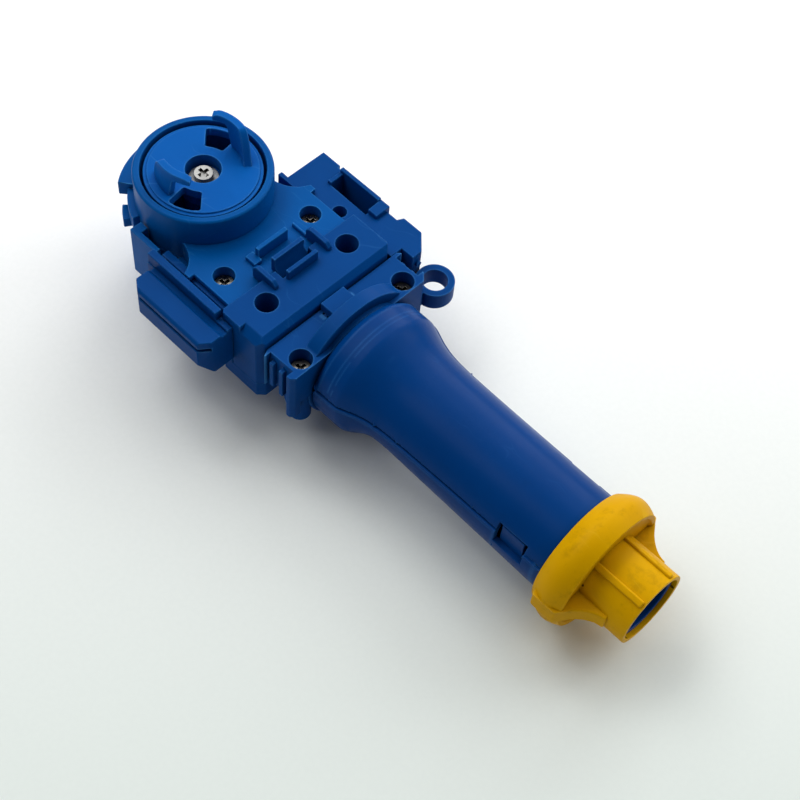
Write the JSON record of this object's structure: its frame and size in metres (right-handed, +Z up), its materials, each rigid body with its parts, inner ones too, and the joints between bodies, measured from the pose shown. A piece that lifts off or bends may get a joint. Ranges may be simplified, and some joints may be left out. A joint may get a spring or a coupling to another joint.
{
  "type": "spinning top launcher",
  "caption": "Hand launcher for spinning tops: a hooked rotor in a cup on a latched launcher, held by a block head with side rails, a round grip and a twist cap.",
  "frame": {"origin": "middle of the length and width, on the table", "axes": "+X along the grip from the launcher to the cap, +Z up with the hooks up"},
  "size_m": [0.2012, 0.0758, 0.055],
  "materials": {
    "azure_plastic": "moulded azure plastic, lightly glossy",
    "rotor_plastic": "moulded blue plastic, satin",
    "grip_plastic": "moulded deep blue plastic, satin",
    "handle_plastic": "moulded deep blue plastic, glossy",
    "yellow_plastic": "moulded yellow plastic, worn at its edges",
    "gear_plastic": "natural gear plastic",
    "screw_steel": "plated steel",
    "washer_steel": "plain steel washer",
    "spring_steel": "spring wire"
  },
  "bodies": {
    "base": {"launcher_upper_case": "azure_plastic", "launcher_lower_case": "azure_plastic", "launcher_screws": "screw_steel", "head_upper": "grip_plastic", "head_lower": "grip_plastic", "head_screws": "screw_steel", "side_rail_block": "grip_plastic", "side_socket_plate": "grip_plastic", "collar_upper": "grip_plastic", "collar_lower": "grip_plastic", "collar_screws": "screw_steel", "latch_pin": "screw_steel", "latch_spring": "spring_steel", "core_tube": "handle_plastic", "handle_upper": "handle_plastic", "handle_lower": "handle_plastic"},
    "rotor": {"rotor": "rotor_plastic", "rotor_washer": "washer_steel", "rotor_screw": "screw_steel", "drive_gear": "gear_plastic"},
    "latch": {"latch_lever": "grip_plastic"},
    "cap": {"pommel_cap": "yellow_plastic"}
  },
  "joints": [
    {"name": "rotor_spin", "type": "hinge", "parent": "base", "child": "rotor", "pos_m": [-0.07515, 0, 0.03], "axis": [0, 0, 1], "continuous": true},
    {"name": "latch_pull", "type": "hinge", "parent": "base", "child": "latch", "pos_m": [-0.03615, 0, 0.031], "axis": [0, 1, 0], "range_deg": [0, 17], "stiffness_Nm_per_rad": 0.02, "springref_deg": -11.46, "deforming": ["latch_spring"]},
    {"name": "cap_twist", "type": "hinge", "parent": "base", "child": "cap", "pos_m": [0.07985, 0, 0.0207], "axis": [1, 0, 0], "range_deg": [0, 45]}
  ]
}
